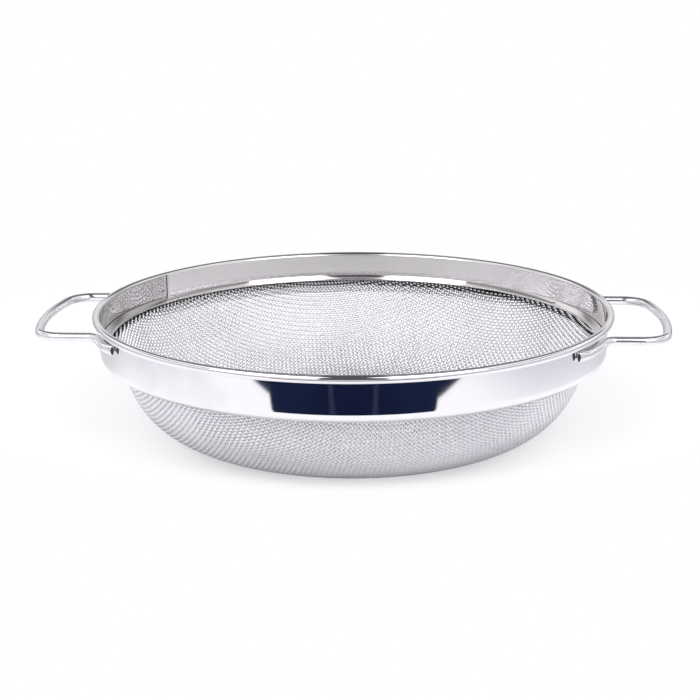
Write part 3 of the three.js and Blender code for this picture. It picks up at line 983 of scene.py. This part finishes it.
def white_table():
    """Paper that is lit by the lamps, with a share of its own glow. The share is 1 far out for camera
    rays, and 1 from just outside the rim for mirrored rays. For mirrored rays the glow's colours are
    laid by masks."""
    finish = new_finish("white_table")
    place = finish.place()
    mirrored = finish.ray("Glossy")
    seen = finish.ray("Camera")
    to_camera = finish.dot(place, TO_CAMERA)
    to_right = finish.dot(place, TO_RIGHT)
    from_middle = finish.length(place)
    beyond = finish.ease(
        to_camera + PAPER_EDGE_LEAN * to_right, PAPER_EDGE - PAPER_EDGE_FADE, PAPER_EDGE + PAPER_EDGE_FADE)
    lean = NOTCH_LEAN * (PAPER_EDGE - to_camera)
    notch = finish.ease(to_right - lean, *NOTCH_LEFT) * finish.ease(to_right + lean, *NOTCH_RIGHT)
    notch = notch * finish.ease(to_camera, *NOTCH_FROM)
    front = finish.either(beyond, notch) * finish.ease(to_camera, *FLOOR_END)
    aside = finish.ease(to_right, *RIGHT_FROM) + LEFT_SHARE * finish.ease(to_right, *LEFT_FROM)
    streaks = finish.ease(abs(abs(to_right) - STREAK_LEAN * (to_camera - HOOP_FRONT)), *STREAK_FADE)
    dark = finish.blend(finish.ease(abs(to_right), *FLOOR_TEAL_FROM), NAVY, TEAL)
    dark = finish.blend(streaks, dark, STREAK)
    pale = finish.blend(finish.ease(to_camera, *BACK_FROM), PAPER_WHITE, BACK_GREY)
    room = finish.blend(front, finish.blend(aside, pale, SIDE_LAVENDER), dark)
    room = finish.blend(finish.ease(to_camera, *DIM_FROM), room, DIM_GREY)
    glow = finish.glow(finish.blend(mirrored, WHITE, room))
    lift = finish.glow(finish.blend(seen, BLACK, LIFT_GREY))
    paper = finish.node("ShaderNodeBsdfDiffuse", None, {"Color": TABLE_WHITE})
    lit = finish.node("ShaderNodeAddShader", None, {0: paper, 1: lift})
    far_behind = finish.ease(from_middle + WHITE_BACK_LEAN * to_camera, *WHITE_BACK_FROM)
    far = finish.either(finish.ease(from_middle, *WHITE_FROM), far_behind)
    share = seen * far + mirrored * finish.ease(from_middle, *MIRRORED_FROM)
    return finish.done(finish.node("ShaderNodeMixShader", None, {0: share, 1: lit, 2: glow}))


table_mesh = bpy.data.meshes.new("table")
table_corners = np.array([[-1, -1, 0], [1, -1, 0], [1, 1, 0], [-1, 1, 0]]) * TABLE_HALF - [0, 0, TABLE_DROP]
table_mesh.from_pydata(table_corners.tolist(), [], [[0, 1, 2, 3]])
table_mesh.materials.append(white_table())
table = bpy.data.objects.new("table", table_mesh)
bpy.context.scene.collection.objects.link(table)
print("table:", 2 * TABLE_HALF, "m wide")

# %% [markdown]
# Two large square lamps hang above and in front of the colander, to either side of the camera. Being
# large, they give the shadow a soft edge. Standard view keeps white paper white.

# %% Soft boxes
SOFT_BOX_SIDE = 0.85
SOFT_BOX_POWER = 6.2
SOFT_BOX_PLACE = (0.65, -0.74, 0.97)
for name, side in (("left_soft_box", -1), ("right_soft_box", 1)):
    lamp = bpy.data.lights.new(name, "AREA")
    lamp.size = SOFT_BOX_SIDE
    lamp.energy = SOFT_BOX_POWER
    soft_box = bpy.data.objects.new(name, lamp)
    soft_box.location = (SOFT_BOX_PLACE[0] * side, SOFT_BOX_PLACE[1], SOFT_BOX_PLACE[2])
    soft_box.rotation_euler = soft_box.location.to_track_quat("Z", "Y").to_euler()
    bpy.context.scene.collection.objects.link(soft_box)
bpy.context.scene.view_settings.view_transform = "Standard"
print("soft boxes:", SOFT_BOX_POWER, "W each")

# %% [markdown]
# ## Camera
# The photograph was taken from a little above the rim, nearly square to the handles. The camera's
# distance, height, turn and roll come from fitting the outlines of the rim, the hoop and the bowl. It
# aims a little below the rim's middle, which puts the rim where the photograph has it without any lens
# shift.

# %% Camera
IMAGE_SIDE = 700
SENSOR_WIDTH = 36
FOCAL_PIXELS = 1531
RIM_MIDDLE_PIXEL = (351.7, 307.6)
CAMERA_DISTANCE = 0.8304
ELEVATION = math.radians(13.77)
ROLL = math.radians(0.25)

lens = bpy.data.cameras.new("camera")
lens.sensor_width = SENSOR_WIDTH
lens.lens = FOCAL_PIXELS / IMAGE_SIDE * SENSOR_WIDTH
camera = bpy.data.objects.new("camera", lens)
camera.location = (
    CAMERA_DISTANCE * math.sin(BEARING) * math.cos(ELEVATION),
    -CAMERA_DISTANCE * math.cos(BEARING) * math.cos(ELEVATION),
    ROLL_CENTRE[1] + CAMERA_DISTANCE * math.sin(ELEVATION))
aim_down = ELEVATION + math.atan((IMAGE_SIDE / 2 - RIM_MIDDLE_PIXEL[1]) / FOCAL_PIXELS)
aim_left = math.atan((RIM_MIDDLE_PIXEL[0] - IMAGE_SIDE / 2) / FOCAL_PIXELS)
camera.rotation_euler = (math.pi / 2 - aim_down, ROLL, BEARING + aim_left)
bpy.context.scene.collection.objects.link(camera)
bpy.context.scene.camera = camera
print("camera:", [round(value, 3) for value in camera.location], "lens", round(lens.lens, 1), "mm")
